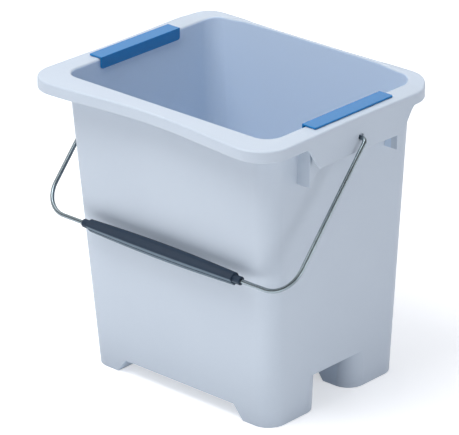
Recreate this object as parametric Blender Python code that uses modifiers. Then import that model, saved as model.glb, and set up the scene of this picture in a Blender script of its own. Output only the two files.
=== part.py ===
"""Moulded mop bucket with a swinging wire bail, a push-on grip and two rim clips.

Metres, +Z up. The origin lies on the floor under the middle of the rim.
+X runs along the long side and -Y is the front, where the bail rests.
"""
import math
from dataclasses import dataclass, replace

import bmesh
import bpy

# Rim: a flat flange round the mouth with a skirt turned down at its edge
RIM_LENGTH = 0.326
RIM_DEPTH = 0.264
RIM_HEIGHT = 0.325
RIM_FRONT_RADIUS = 0.034
RIM_BACK_RADIUS = 0.036
RIM_EDGE_RADIUS = 0.002
FRONT_BOW = 0.010
SIDE_BOW = 0.0016
FLANGE_THICKNESS = 0.003
SKIRT_HEIGHT = 0.0125
SKIRT_THICKNESS = 0.0025

# Pouring edge: the back of the rim stands higher, and its middle is a lip that slopes down outwards
BACK_RISE = 0.0047
BACK_RISE_RUN = 0.028
MOUTH_RADIUS = 0.0025
LIP_RISE = 0.0027
LIP_RADIUS = 0.0015
LIP_SLOPE = math.radians(45)
# Shares of the back's length, from each end: where the lip has risen, where its slope starts and is full
LIP_RISEN = 0.14
SLOPE_START = 0.10
SLOPE_FULL = 0.35

# Body: walls that lean in towards the base, most of all at the front
SIDE_FLANGE_WIDTH = 0.022
FRONT_FLANGE_WIDTH = 0.0301
BACK_FLANGE_WIDTH = 0.0064
SIDE_DRAFT = 0.017
FRONT_DRAFT = 0.0231
BACK_DRAFT = 0.004
BODY_CORNER_RADIUS = 0.021
WALL = 0.003
BASE_EDGE_RADIUS = 0.001
BASE_INNER_RADIUS = 0.004

# Ears: the skirt deepens on the short sides to carry the bail, ribs stand at its ends
EAR_DEPTH = 0.0375
EAR_LENGTH = 0.121
EAR_FLARE = 0.022
RIB_PITCH = 0.1337
RIB_THICKNESS = 0.004
RIB_DROP = 0.058
RIB_SETBACK = 0.0085

# Feet: a low channel from front to back and a hand recess in each short side
CHANNEL_HEIGHT = 0.0157
CHANNEL_TOP_WIDTH = 0.150
CHANNEL_MOUTH_WIDTH = 0.174
RECESS_HEIGHT = 0.0415
RECESS_WIDTH = 0.048
RECESS_REACH = 0.055
RECESS_END_RADIUS = 0.010
FOOT_CORNER_RADIUS = 0.020

# Bail: one bent wire whose ends pass through the ears and turn down behind them
WIRE_DIAMETER = 0.0045
PIVOT_DROP = 0.023
PIVOT_CLEARANCE = 0.0025
BAIL_REST_DROP = 0.1326
ARM_GAP = 0.0026
BAIL_BEND_RADIUS = 0.030
HOOK_BEND_RADIUS = 0.005
HOOK_GAP = 0.0015
HOOK_TAIL = 0.006

# Grip: a handle with a flat, slotted underside, pushed onto the wire, and a neck at each end
GRIP_LENGTH = 0.216
GRIP_SHIFT = -0.001
GRIP_CROWN = 0.0085
GRIP_FLAT = 0.0068
GRIP_WIDTH = 0.0165
GRIP_END_SHARE = 0.76
GRIP_NECK_LENGTH = 0.009
GRIP_NECK_DIAMETER = 0.0088
GRIP_EDGE_RADIUS = 0.0006
GRIP_SLOT_WIDTH = 0.0014
GRIP_CLEARANCE = 0.0004
GRIP_WALL_GAP = 0.0018
GRIP_REST_TURN = math.radians(12)
# How square the underside's corners are: 1 is round, 0 is square
GRIP_CORNER_POWER = 0.36

# Clips: plastic angles hung over the inner edge of the short rims
CLIP_LENGTH = 0.118
CLIP_THICKNESS = 0.002
CLIP_TOP_WIDTH = 0.0175
CLIP_LEG_HEIGHT = 0.013
CLIP_EDGE_BEVEL = 0.0005
SEAT_GAP = 0.0003

# How finely round stretches are divided
CORNER_STEPS = 8
LONG_SIDE_STEPS = 12
FLARE_STEPS = 6
ROUND_STEPS = 3
FOOT_STEPS = 8
WIRE_BEND_STEPS = 10
WIRE_RESOLUTION = 4
GRIP_SIDES = 28
GRIP_STEPS = 8
BORE_SIDES = 20

# How far cutters reach past what they cut
CUT_MARGIN = 0.010
EDGE_MARGIN = 0.001
MOUTH_CUT_ANGLE = math.radians(75)
FOOT_CUT_ANGLE = math.radians(82)

HALF_LENGTH = RIM_LENGTH / 2
HALF_DEPTH = RIM_DEPTH / 2
WIRE_RADIUS = WIRE_DIAMETER / 2
PIVOT_Z = RIM_HEIGHT - PIVOT_DROP
EAR_CENTRE_Y = (FRONT_FLANGE_WIDTH - BACK_FLANGE_WIDTH) / 2
EAR_FACE_X = HALF_LENGTH - SIDE_BOW
ARM_X = HALF_LENGTH + ARM_GAP + WIRE_RADIUS


def smooth_step(value):
    """Ease from 0 to 1 with level ends."""
    part = min(max(value, 0.0), 1.0)
    return part * part * (3 - 2 * part)


@dataclass(frozen=True)
class Station:
    """A place on an outline: part runs from 0 to 1 along a side or round a corner."""

    side: str
    part: float


@dataclass(frozen=True)
class Plan:
    """A rounded rectangle seen from above, with the front and short sides bowed inwards."""

    half_length: float
    front: float
    back: float
    front_radius: float
    back_radius: float
    front_bow: float = 0.0
    side_bow: float = 0.0

    def inset(self, distance):
        """Return the outline moved inwards."""
        return replace(
            self,
            half_length=self.half_length - distance,
            front=self.front + distance,
            back=self.back - distance,
            front_radius=self.front_radius - distance,
            back_radius=self.back_radius - distance,
        )

    def point(self, station):
        """Return x and y at a station."""
        near = self.front + self.front_radius
        far = self.back - self.back_radius
        bow = max(math.sin(math.pi * station.part), 0.0) ** 1.5
        if station.side == "right":
            return self.half_length - self.side_bow * bow, near + (far - near) * station.part
        if station.side == "left":
            return self.side_bow * bow - self.half_length, far + (near - far) * station.part
        if station.side == "back":
            return (self.half_length - self.back_radius) * (1 - 2 * station.part), self.back
        if station.side == "front":
            reach = self.half_length - self.front_radius
            return reach * (2 * station.part - 1), self.front + self.front_bow * bow
        quarter = ("back_right", "back_left", "front_left", "front_right").index(station.side)
        angle = (quarter + station.part) * math.pi / 2
        radius = self.back_radius if quarter < 2 else self.front_radius
        reach = self.half_length - radius
        centre_x = reach if quarter in (0, 3) else -reach
        centre_y = far if quarter < 2 else near
        return centre_x + radius * math.cos(angle), centre_y + radius * math.sin(angle)


RIM = Plan(
    HALF_LENGTH,
    -HALF_DEPTH,
    HALF_DEPTH,
    RIM_FRONT_RADIUS,
    RIM_BACK_RADIUS,
    FRONT_BOW,
    SIDE_BOW,
)


def body_plan(z):
    """Return the outside of the body at a height."""
    below = 1 - z / RIM_HEIGHT
    return Plan(
        HALF_LENGTH - SIDE_FLANGE_WIDTH - SIDE_DRAFT * below,
        FRONT_FLANGE_WIDTH - HALF_DEPTH + FRONT_DRAFT * below,
        HALF_DEPTH - BACK_FLANGE_WIDTH - BACK_DRAFT * below,
        BODY_CORNER_RADIUS,
        BODY_CORNER_RADIUS,
    )


def side_parts():
    """Return the parts along a short side, closer together where the ear flares."""
    near = RIM.front + RIM.front_radius
    far = RIM.back - RIM.back_radius
    places = [near, far]
    places += [EAR_CENTRE_Y + EAR_LENGTH * share for share in (-0.25, 0.0, 0.25)]
    for step in range(FLARE_STEPS + 1):
        distance = EAR_LENGTH / 2 + EAR_FLARE * step / FLARE_STEPS
        places += [EAR_CENTRE_Y - distance, EAR_CENTRE_Y + distance]
    on_side = sorted(place for place in places if near <= place <= far)
    return [(place - near) / (far - near) for place in on_side]


def make_stations():
    """Return the stations of an outline, anticlockwise from the front of the right side."""
    corner = [(step + 1) / CORNER_STEPS for step in range(CORNER_STEPS - 1)]
    long_side = [step / LONG_SIDE_STEPS for step in range(LONG_SIDE_STEPS + 1)]
    short_side = side_parts()
    runs = (
        ("right", short_side),
        ("back_right", corner),
        ("back", long_side),
        ("back_left", corner),
        ("left", [1 - part for part in reversed(short_side)]),
        ("front_left", corner),
        ("front", long_side),
        ("front_right", corner),
    )
    return [Station(side, part) for side, parts in runs for part in parts]


STATIONS = make_stations()
CREST = body_plan(RIM_HEIGHT).inset(WALL - LIP_RADIUS)


def top_z(y):
    """Return the height of the rim, which rises to the pouring edge."""
    start = HALF_DEPTH - BACK_RISE_RUN
    return RIM_HEIGHT + BACK_RISE * smooth_step((y - start) / BACK_RISE_RUN)


def hem_z(y):
    """Return the height of the skirt's lower edge, which drops along the ears."""
    flare = smooth_step((abs(y - EAR_CENTRE_Y) - EAR_LENGTH / 2) / EAR_FLARE)
    return RIM_HEIGHT - EAR_DEPTH + (EAR_DEPTH - SKIRT_HEIGHT) * flare


def along_back(station):
    """Return how far along the back a place is from the nearer end, as a share of the back."""
    if station.side != "back":
        return 0.0
    return min(station.part, 1 - station.part)


def slope_share(station):
    """Return how far the lip slopes: 1 in the middle of the back, 0 at its ends."""
    return smooth_step((along_back(station) - SLOPE_START) / (SLOPE_FULL - SLOPE_START))


def edge_z(station, y):
    """Return the height of the outer rim edge, which stays low below the lip."""
    return top_z(y) - BACK_RISE * slope_share(station)


def crest_z(station):
    """Return the height of the rim along the mouth, which is highest at the lip."""
    lip = LIP_RISE * smooth_step(along_back(station) / LIP_RISEN)
    return top_z(CREST.point(station)[1]) + lip


def mouth_radius(station):
    """Return the rounding of the inner rim edge."""
    return MOUTH_RADIUS + (LIP_RADIUS - MOUTH_RADIUS) * slope_share(station)


def make_collection(name):
    """Return a new collection in the scene."""
    made = bpy.data.collections.new(name)
    bpy.context.scene.collection.children.link(made)
    return made


def linear(hex_colour):
    """Turn an sRGB hex colour into linear red, green and blue."""
    channels = [int(hex_colour[start:start + 2], 16) / 255 for start in (0, 2, 4)]
    return [value / 12.92 if value <= 0.04045 else ((value + 0.055) / 1.055) ** 2.4 for value in channels]


def make_material(name, hex_colour, roughness, metallic=0.0):
    """Return a Principled material."""
    made = bpy.data.materials.new(name)
    made.use_nodes = True
    shader = made.node_tree.nodes["Principled BSDF"]
    shader.inputs["Base Color"].default_value = (*linear(hex_colour), 1.0)
    shader.inputs["Roughness"].default_value = roughness
    shader.inputs["Metallic"].default_value = metallic
    return made


def add_object(name, data, owner):
    """Link mesh or curve data to a collection as a named object."""
    made = bpy.data.objects.new(name, data)
    owner.objects.link(made)
    return made


def loft(name, rings, owner):
    """Skin closed rings of equal length and cap both ends."""
    shape = bmesh.new()
    loops = [[shape.verts.new(point) for point in ring] for ring in rings]
    for lower, upper in zip(loops, loops[1:]):
        for index, corner in enumerate(lower):
            follower = (index + 1) % len(lower)
            shape.faces.new((corner, lower[follower], upper[follower], upper[index]))
    shape.faces.new(loops[0][::-1])
    shape.faces.new(loops[-1])
    bmesh.ops.recalc_face_normals(shape, faces=shape.faces)
    mesh = bpy.data.meshes.new(name)
    shape.to_mesh(mesh)
    shape.free()
    return add_object(name, mesh, owner)


def take_mesh(source, owner):
    """Turn a curve object into a welded mesh object in the same place."""
    bpy.context.view_layer.update()
    graph = bpy.context.evaluated_depsgraph_get()
    mesh = bpy.data.meshes.new_from_object(source.evaluated_get(graph))
    shape = bmesh.new()
    shape.from_mesh(mesh)
    bmesh.ops.remove_doubles(shape, verts=shape.verts, dist=1e-6)
    bmesh.ops.transform(shape, matrix=source.matrix_world, verts=shape.verts)
    bmesh.ops.recalc_face_normals(shape, faces=shape.faces)
    shape.to_mesh(mesh)
    shape.free()
    name = source.name
    bpy.data.objects.remove(source)
    mesh.name = name
    return add_object(name, mesh, owner)


def prism(name, outline, depth, turn, place, owner):
    """Extrude a flat outline both ways, then turn and place it."""
    curve = bpy.data.curves.new(name, "CURVE")
    curve.dimensions = "2D"
    curve.fill_mode = "BOTH"
    curve.extrude = depth / 2
    spline = curve.splines.new("POLY")
    spline.points.add(len(outline) - 1)
    for knot, (across, up) in zip(spline.points, outline):
        knot.co = (across, up, 0, 1)
    spline.use_cyclic_u = True
    flat = add_object(name, curve, owner)
    flat.rotation_euler = turn
    flat.location = place
    return take_mesh(flat, owner)


ACROSS_Y = (math.pi / 2, 0, 0)
ACROSS_X = (math.pi / 2, 0, math.pi / 2)


def boolean(target, tool, operation):
    """Join a tool to a target or cut it out."""
    modifier = target.modifiers.new(f"{operation.lower()} {tool.name}", "BOOLEAN")
    modifier.operation = operation
    modifier.solver = "EXACT"
    modifier.object = tool
    tool.hide_render = True
    tool.display_type = "WIRE"


def level_ring(plan, z):
    """Return an outline at one height."""
    return [(*plan.point(station), z) for station in STATIONS]


def under_ring():
    """Return the line where the underside of the flange meets the skirt."""
    ring = []
    for station in STATIONS:
        x, y = RIM.inset(SKIRT_THICKNESS).point(station)
        ring.append((x, y, edge_z(station, y) - FLANGE_THICKNESS))
    return ring


def crest_ring(plan):
    """Return an outline at the height of the rim along the mouth."""
    return [(*plan.point(station), crest_z(station)) for station in STATIONS]


def edge_ring(angle):
    """Return a line on the rounded outer rim edge."""
    ring = []
    for station in STATIONS:
        turn = angle * (1 - slope_share(station) * LIP_SLOPE / (math.pi / 2))
        x, y = RIM.inset(RIM_EDGE_RADIUS * (1 - math.cos(turn))).point(station)
        ring.append((x, y, edge_z(station, y) - RIM_EDGE_RADIUS * (1 - math.sin(turn))))
    return ring


def hem_ring(plan):
    """Return an outline along the lower edge of the skirt."""
    return [(*plan.point(station), hem_z(RIM.point(station)[1])) for station in STATIONS]


def wall_top_ring():
    """Return the line where the body meets the underside of the flange."""
    ring = []
    for station in STATIONS:
        z = top_z(body_plan(RIM_HEIGHT).point(station)[1]) - FLANGE_THICKNESS
        ring.append((*body_plan(z).point(station), z))
    return ring


def mouth_ring(angle, past):
    """Return a line on the rounded inner rim edge, or past it along the edge's tangent."""
    ring = []
    for station in STATIONS:
        radius = mouth_radius(station)
        run = radius * (1 - math.cos(angle)) + past * math.sin(angle)
        rise = radius * (math.sin(angle) - 1) + past * math.cos(angle)
        z = crest_z(station) + rise
        ring.append((*body_plan(z).inset(WALL - run).point(station), z))
    return ring


def base_rings(floor, inset, radius):
    """Return outlines round a rounded lower edge, from the floor to the wall."""
    rings = []
    for step in range(ROUND_STEPS + 1):
        angle = math.pi / 2 * step / ROUND_STEPS
        z = floor + radius * (1 - math.cos(angle))
        rings.append(level_ring(body_plan(z).inset(inset + radius * (1 - math.sin(angle))), z))
    return rings


def outer_form(owner):
    """Build the outside of the bucket as a solid with flange and skirt."""
    rings = base_rings(0, 0, BASE_EDGE_RADIUS)
    rings.append(wall_top_ring())
    rings.append(under_ring())
    rings.append(hem_ring(RIM.inset(SKIRT_THICKNESS)))
    rings.append(hem_ring(RIM))
    for step in range(ROUND_STEPS + 1):
        rings.append(edge_ring(math.pi / 2 * step / ROUND_STEPS))
    rings.append(crest_ring(CREST))
    rings.append(crest_ring(body_plan(RIM_HEIGHT).inset(2 * WALL)))
    rings.append(level_ring(body_plan(RIM_HEIGHT).inset(3 * WALL), RIM_HEIGHT))
    return loft("bucket_body", rings, owner)


def cavity_form(owner):
    """Build the space inside the bucket, open past the rim."""
    rings = base_rings(WALL, WALL, BASE_INNER_RADIUS)
    for step in range(ROUND_STEPS + 1):
        rings.append(mouth_ring(MOUTH_CUT_ANGLE * step / ROUND_STEPS, 0))
    rings.append(mouth_ring(MOUTH_CUT_ANGLE, MOUTH_RADIUS + EDGE_MARGIN / 2))
    above = RIM_HEIGHT + BACK_RISE + LIP_RISE + CUT_MARGIN
    rings.append([(x, y, above) for x, y, _ in rings[-1]])
    return loft("cavity", rings, owner)


def rib(side, y, owner):
    """Build one upright rib between the wall and the space behind the skirt."""
    bottom = RIM_HEIGHT - RIB_DROP
    top = RIM_HEIGHT - FLANGE_THICKNESS / 2
    outer = HALF_LENGTH - RIB_SETBACK
    outline = [
        (body_plan(bottom).half_length - WALL / 2, bottom),
        (outer, bottom),
        (outer, top),
        (body_plan(top).half_length - WALL / 2, top),
    ]
    turned = [(side * x, z) for x, z in outline]
    return prism("rib", turned, RIB_THICKNESS, ACROSS_Y, (0, y, 0), owner)


def channel(name, grow, owner):
    """Build the space under the base from front to back, grown on all sides if told."""
    slope = (CHANNEL_MOUTH_WIDTH - CHANNEL_TOP_WIDTH) / 2 / CHANNEL_HEIGHT
    sideways = grow * math.hypot(1, slope)
    height = CHANNEL_HEIGHT + grow
    top = CHANNEL_TOP_WIDTH / 2 + sideways - slope * grow
    foot = CHANNEL_MOUTH_WIDTH / 2 + sideways + slope * CUT_MARGIN
    outline = [(-foot, -CUT_MARGIN), (foot, -CUT_MARGIN), (top, height), (-top, height)]
    return prism(name, outline, RIM_DEPTH + 2 * CUT_MARGIN, ACROSS_Y, (0, 0, 0), owner)


def arc(centre, radius, start, end, steps):
    """Return points round an arc, both ends included."""
    angles = [start + (end - start) * step / steps for step in range(steps + 1)]
    return [(centre[0] + radius * math.cos(a), centre[1] + radius * math.sin(a)) for a in angles]


def recess_ring(side, z, grow):
    """Return one level outline of the hand recess between two rounded feet."""
    wall = body_plan(z).half_length
    base = body_plan(0)
    foot = (wall - FOOT_CORNER_RADIUS, RECESS_WIDTH / 2 + FOOT_CORNER_RADIUS)
    flare = arc(foot, FOOT_CORNER_RADIUS - grow, FOOT_CUT_ANGLE - math.pi / 2, -math.pi / 2, FOOT_STEPS)
    ahead = (wall + EDGE_MARGIN - flare[0][0]) / math.cos(FOOT_CUT_ANGLE)
    mouth = (wall + EDGE_MARGIN, flare[0][1] + ahead * math.sin(FOOT_CUT_ANGLE))
    end_radius = RECESS_END_RADIUS + grow
    end = (wall - RECESS_REACH - grow + end_radius, RECESS_WIDTH / 2 + grow - end_radius)
    half = [mouth] + flare + arc(end, end_radius, math.pi / 2, math.pi, FOOT_STEPS // 2)
    outline = half + [(x, -y) for x, y in reversed(half)]
    centre = (base.front + base.back) / 2
    return [(side * x, centre + y, z) for x, y in outline]


def recess(name, side, grow, owner):
    """Build the hand recess of one short side, grown inwards and upwards if told."""
    rings = [recess_ring(side, z, grow) for z in (-CUT_MARGIN, RECESS_HEIGHT + grow)]
    return loft(name, rings, owner)


def ear_hole(side, owner):
    """Build the hole in one ear, on whose lowest point the wire rests."""
    radius = (WIRE_DIAMETER + PIVOT_CLEARANCE) / 2
    middle_z = PIVOT_Z + PIVOT_CLEARANCE / 2 - SEAT_GAP
    outline = arc((EAR_CENTRE_Y, middle_z), radius, 0, 2 * math.pi, BORE_SIDES)[:-1]
    middle = side * (EAR_FACE_X - SKIRT_THICKNESS / 2)
    return prism("ear_hole", outline, 4 * SKIRT_THICKNESS, ACROSS_X, (middle, 0, 0), owner)


def build_body(parts, cutters):
    """Build the bucket and return it."""
    body = outer_form(parts)
    cavity = cavity_form(cutters)
    boolean(cavity, channel("channel_inside", WALL, cutters), "DIFFERENCE")
    for side in (1, -1):
        boolean(cavity, recess("recess_inside", side, WALL, cutters), "DIFFERENCE")
        for end in (-1, 1):
            boolean(body, rib(side, EAR_CENTRE_Y + end * RIB_PITCH / 2, cutters), "UNION")
    boolean(body, cavity, "DIFFERENCE")
    boolean(body, channel("channel", 0, cutters), "DIFFERENCE")
    for side in (1, -1):
        boolean(body, recess("recess", side, 0, cutters), "DIFFERENCE")
        boolean(body, ear_hole(side, cutters), "DIFFERENCE")
    return body


def rest_place():
    """Return how far forward of the pivot the bail's run rests, beside the front wall."""
    z = PIVOT_Z - BAIL_REST_DROP
    lean = math.hypot(1, FRONT_DRAFT / RIM_HEIGHT)
    corner = math.hypot(GRIP_FLAT, GRIP_WIDTH / 2)
    clear = (max(corner, GRIP_CROWN) + GRIP_WALL_GAP) * lean
    return EAR_CENTRE_Y - (body_plan(z).front - clear)


ARM_REACH = math.hypot(rest_place(), BAIL_REST_DROP)
REST_ANGLE = math.atan2(rest_place(), BAIL_REST_DROP)


def wire_path():
    """Return the middle line of the right half of the wire, from its end to the run."""
    hook_x = EAR_FACE_X - SKIRT_THICKNESS - HOOK_GAP
    bend = HOOK_BEND_RADIUS
    flat = [(hook_x - bend, -bend - HOOK_TAIL)]
    flat += arc((hook_x, -bend), bend, math.pi, math.pi / 2, WIRE_BEND_STEPS)
    flat += arc((ARM_X - bend, -bend), bend, math.pi / 2, 0, WIRE_BEND_STEPS)
    corner = (ARM_X - BAIL_BEND_RADIUS, BAIL_BEND_RADIUS - ARM_REACH)
    flat += arc(corner, BAIL_BEND_RADIUS, 0, -math.pi / 2, WIRE_BEND_STEPS)
    return [(x, 0, z) for x, z in flat]


def build_wire(parts):
    """Build the bent wire about its pivot line, arms hanging down."""
    right = wire_path()
    path = right + [(-x, y, z) for x, y, z in reversed(right)]
    curve = bpy.data.curves.new("bail_wire", "CURVE")
    curve.dimensions = "3D"
    curve.bevel_depth = WIRE_RADIUS
    curve.bevel_resolution = WIRE_RESOLUTION
    curve.use_fill_caps = True
    spline = curve.splines.new("POLY")
    spline.points.add(len(path) - 1)
    for knot, point in zip(spline.points, path):
        knot.co = (*point, 1)
    return take_mesh(add_object("bail_wire", curve, parts), parts)


def grip_ring(x, share, grow):
    """Return a section across the grip: an arched crown over a flat underside with round corners."""
    ring = []
    for step in range(GRIP_SIDES):
        angle = 2 * math.pi * step / GRIP_SIDES
        across, up = math.cos(angle), math.sin(angle)
        if up >= 0:
            up *= GRIP_CROWN * share + grow
        else:
            across = math.copysign(abs(across) ** GRIP_CORNER_POWER, across)
            up = -(GRIP_FLAT * share + grow) * abs(up) ** GRIP_CORNER_POWER
        ring.append((x, (GRIP_WIDTH / 2 * share + grow) * across, up))
    return ring


def neck_ring(x, grow):
    """Return a round section across a neck of the grip."""
    radius = GRIP_NECK_DIAMETER / 2 + grow
    angles = [2 * math.pi * step / GRIP_SIDES for step in range(GRIP_SIDES)]
    return [(x, radius * math.cos(angle), radius * math.sin(angle)) for angle in angles]


def grip_rings():
    """Return sections along the grip: neck, shoulder, swelling handle, shoulder, neck."""
    edge = GRIP_EDGE_RADIUS
    half = GRIP_LENGTH / 2
    shoulder = half - GRIP_NECK_LENGTH
    rings = [neck_ring(half, -edge), neck_ring(half - edge, 0), neck_ring(shoulder, 0)]
    rings.append(grip_ring(shoulder, GRIP_END_SHARE, -edge))
    for step in range(GRIP_STEPS + 1):
        along = step / GRIP_STEPS
        share = GRIP_END_SHARE + (1 - GRIP_END_SHARE) * math.sin(math.pi / 2 * along)
        rings.append(grip_ring((shoulder - edge) * (1 - along), share, 0))
    mirrored = [[(-x, y, z) for x, y, z in ring] for ring in reversed(rings[:-1])]
    return rings + mirrored


def slot_cutter(cutters):
    """Build the round bore of the grip with its slot along the lower side."""
    radius = WIRE_RADIUS + GRIP_CLEARANCE
    gap = math.asin(GRIP_SLOT_WIDTH / 2 / radius)
    bore = arc((0, 0), radius, gap - math.pi / 2, 3 * math.pi / 2 - gap, BORE_SIDES)
    below = -GRIP_FLAT - CUT_MARGIN
    outline = bore + [(-GRIP_SLOT_WIDTH / 2, below), (GRIP_SLOT_WIDTH / 2, below)]
    return prism("grip_slot", outline, GRIP_LENGTH + 2 * CUT_MARGIN, ACROSS_X, (0, 0, 0), cutters)


def build_clip(name, side, parts):
    """Build one angle strip over the inner edge of a short rim."""
    top = RIM_HEIGHT + SEAT_GAP + CLIP_THICKNESS
    bottom = top - CLIP_LEG_HEIGHT
    leg = body_plan(bottom).half_length - WALL - SEAT_GAP
    inner = leg - CLIP_THICKNESS
    outline = [
        (inner, bottom),
        (leg, bottom),
        (leg, top - CLIP_THICKNESS),
        (inner + CLIP_TOP_WIDTH, top - CLIP_THICKNESS),
        (inner + CLIP_TOP_WIDTH, top),
        (inner, top),
    ]
    turned = [(side * x, z) for x, z in outline]
    clip = prism(name, turned, CLIP_LENGTH, ACROSS_Y, (0, EAR_CENTRE_Y, 0), parts)
    bevel = clip.modifiers.new("edges", "BEVEL")
    bevel.width = CLIP_EDGE_BEVEL
    bevel.segments = 2
    return clip


def main():
    """Build every piece in its place."""
    for leftover in list(bpy.data.objects):
        bpy.data.objects.remove(leftover)
    parts = make_collection("mop_bucket")
    cutters = make_collection("cutters")

    body = build_body(parts, cutters)
    body.data.materials.append(make_material("bucket_plastic", "D2DAE6", 0.45))

    pivot = add_object("bail_pivot", None, parts)
    pivot.location = (0, EAR_CENTRE_Y, PIVOT_Z)
    pivot.rotation_euler = (-REST_ANGLE, 0, 0)

    wire = build_wire(parts)
    wire.data.materials.append(make_material("bail_steel", "C9CCD0", 0.22, 1.0))
    wire.parent = pivot

    grip = loft("bail_grip", grip_rings(), parts)
    cutter = slot_cutter(cutters)
    boolean(grip, cutter, "DIFFERENCE")
    grip.data.materials.append(make_material("grip_plastic", "32485C", 0.5))
    for piece in (grip, cutter):
        piece.parent = pivot
        piece.location = (GRIP_SHIFT, 0, -ARM_REACH)
        piece.rotation_euler = (-GRIP_REST_TURN, 0, 0)

    clip_plastic = make_material("clip_plastic", "1F70B4", 0.4)
    for name, side in (("clip_right", 1), ("clip_left", -1)):
        clip = build_clip(name, side, parts)
        clip.data.materials.append(clip_plastic)


main()
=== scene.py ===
"""Mop bucket with a swinging wire bail, a push-on grip and two rim clips, dressed for the studio.

Metres, +Z up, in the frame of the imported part: the bucket stands on the floor under its rim,
+X runs along the long side and -Y is the front, where the bail rests.
"""
import logging
import math
from collections.abc import Callable
from dataclasses import dataclass, replace
from enum import Enum

import bmesh
import bpy
from mathutils import Matrix, Vector


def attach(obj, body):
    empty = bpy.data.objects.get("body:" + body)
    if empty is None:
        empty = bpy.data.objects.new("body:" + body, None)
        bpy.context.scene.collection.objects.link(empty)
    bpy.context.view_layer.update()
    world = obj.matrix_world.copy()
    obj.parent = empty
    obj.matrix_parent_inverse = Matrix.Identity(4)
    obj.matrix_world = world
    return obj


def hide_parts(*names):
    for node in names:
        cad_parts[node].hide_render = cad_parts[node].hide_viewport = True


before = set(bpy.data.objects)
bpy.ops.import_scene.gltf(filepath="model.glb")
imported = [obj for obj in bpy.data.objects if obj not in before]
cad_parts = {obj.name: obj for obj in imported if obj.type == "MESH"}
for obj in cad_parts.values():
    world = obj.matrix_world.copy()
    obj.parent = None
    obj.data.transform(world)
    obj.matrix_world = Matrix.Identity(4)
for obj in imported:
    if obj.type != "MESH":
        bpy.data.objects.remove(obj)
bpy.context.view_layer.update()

LOG = logging.getLogger("mop_bucket")
MM = 0.001
QUARTER = math.pi / 2

# The sRGB curve: a straight foot up to the knee, then a power
SRGB_KNEE = 0.04045
SRGB_FOOT_SLOPE = 12.92
SRGB_OFFSET = 0.055
SRGB_POWER = 2.4
WHITE = "FFFFFF"

# Distances below which two points are one, a point is on the floor and an edge has no run
SAME_POINT = 1e-6
ON_FLOOR = 1e-5
NO_RUN = 1e-4
# How far cutters reach past what they cut
CUT_MARGIN = 0.010
# The least angle of an edge that is rounded, and the largest between faces of one flat stretch
SHARP_EDGE = math.radians(25)
FLAT_STRETCH = math.radians(0.2)
ROUND_PROFILE = 0.5
# Shading: edges above this angle stay sharp, and large faces lead the small ones beside them
SHADED_SHARP = math.radians(38)
LARGE_FACE_WEIGHT = 80

# Where nearly all values of a noise lie
NOISE_RANGE = (0.3, 0.7)
# The coordinates round and along the wire
WIRE_UV = "along_wire"

Flat = tuple[float, float]
Point = tuple[float, float, float]
Ring = list[Point]
Piece = bpy.types.Object
Tree = bpy.types.NodeTree
Socket = bpy.types.NodeSocket


class Side(Enum):
    """The short sides of the bucket, by the sign of X."""

    LEFT = -1
    RIGHT = 1


class Cut(Enum):
    """How one solid is combined with another."""

    JOIN = "UNION"
    REMOVE = "DIFFERENCE"
    SHARE = "INTERSECT"


class Edge(Enum):
    """The stretches of a rounded outline, anticlockwise from the right."""

    RIGHT = "right"
    BACK_RIGHT = "back_right"
    BACK = "back"
    BACK_LEFT = "back_left"
    LEFT = "left"
    FRONT_LEFT = "front_left"
    FRONT = "front"
    FRONT_RIGHT = "front_right"


CORNERS = (Edge.BACK_RIGHT, Edge.BACK_LEFT, Edge.FRONT_LEFT, Edge.FRONT_RIGHT)


def linear(hex_colour: str) -> tuple[float, float, float, float]:
    """Turn an sRGB hex colour into linear light.

    Args:
        hex_colour: Six hex digits.

    Returns:
        Red, green, blue and full opacity.
    """
    light = []
    for start in (0, 2, 4):
        value = int(hex_colour[start:start + 2], 16) / 255
        if value <= SRGB_KNEE:
            light.append(value / SRGB_FOOT_SLOPE)
        else:
            light.append(((value + SRGB_OFFSET) / (1 + SRGB_OFFSET)) ** SRGB_POWER)
    return light[0], light[1], light[2], 1.0


def add_node(
    tree: Tree,
    kind: str,
    settings: dict[str, object] | None = None,
    inputs: dict[str | int, object] | None = None,
) -> bpy.types.Node:
    """Add a node with its settings and links.

    Args:
        tree: The node tree that gets the node.
        kind: The node's type name.
        settings: Properties of the node itself.
        inputs: Values for its sockets; an output socket is linked.

    Returns:
        The new node.
    """
    node = tree.nodes.new(kind)
    for name, value in (settings or {}).items():
        setattr(node, name, value)
    for name, value in (inputs or {}).items():
        if isinstance(value, bpy.types.NodeSocket):
            tree.links.new(value, node.inputs[name])
        else:
            node.inputs[name].default_value = value
    return node


def lay_colours(tree: Tree, base: str, layers: list[tuple[Socket, str]]) -> Socket:
    """Lay colours over a first one.

    Args:
        tree: The node tree.
        base: The first colour.
        layers: How much of each further colour shows at a place, and that colour.

    Returns:
        The colour of each place.
    """
    colour = linear(base)
    for share, over in layers:
        mixed = add_node(
            tree,
            "ShaderNodeMix",
            {"data_type": "RGBA"},
            {0: share, 6: colour, 7: linear(over)},
        )
        colour = mixed.outputs[2]
    return colour


def smooth_step(value: float) -> float:
    """Ease from 0 to 1 with level ends."""
    part = min(max(value, 0.0), 1.0)
    return part * part * (3 - 2 * part)


def sweep(start: float, end: float, steps: int) -> list[float]:
    """Return evenly spaced values, both ends included."""
    return [start + (end - start) * step / steps for step in range(steps + 1)]


def full_turn(steps: int) -> list[float]:
    """Return evenly spaced angles once round."""
    return sweep(0.0, 2 * math.pi, steps)[:-1]


def arc(centre: Flat, radius: float, angles: list[float]) -> list[Flat]:
    """Return points round an arc."""
    return [(centre[0] + radius * math.cos(a), centre[1] + radius * math.sin(a)) for a in angles]


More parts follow.
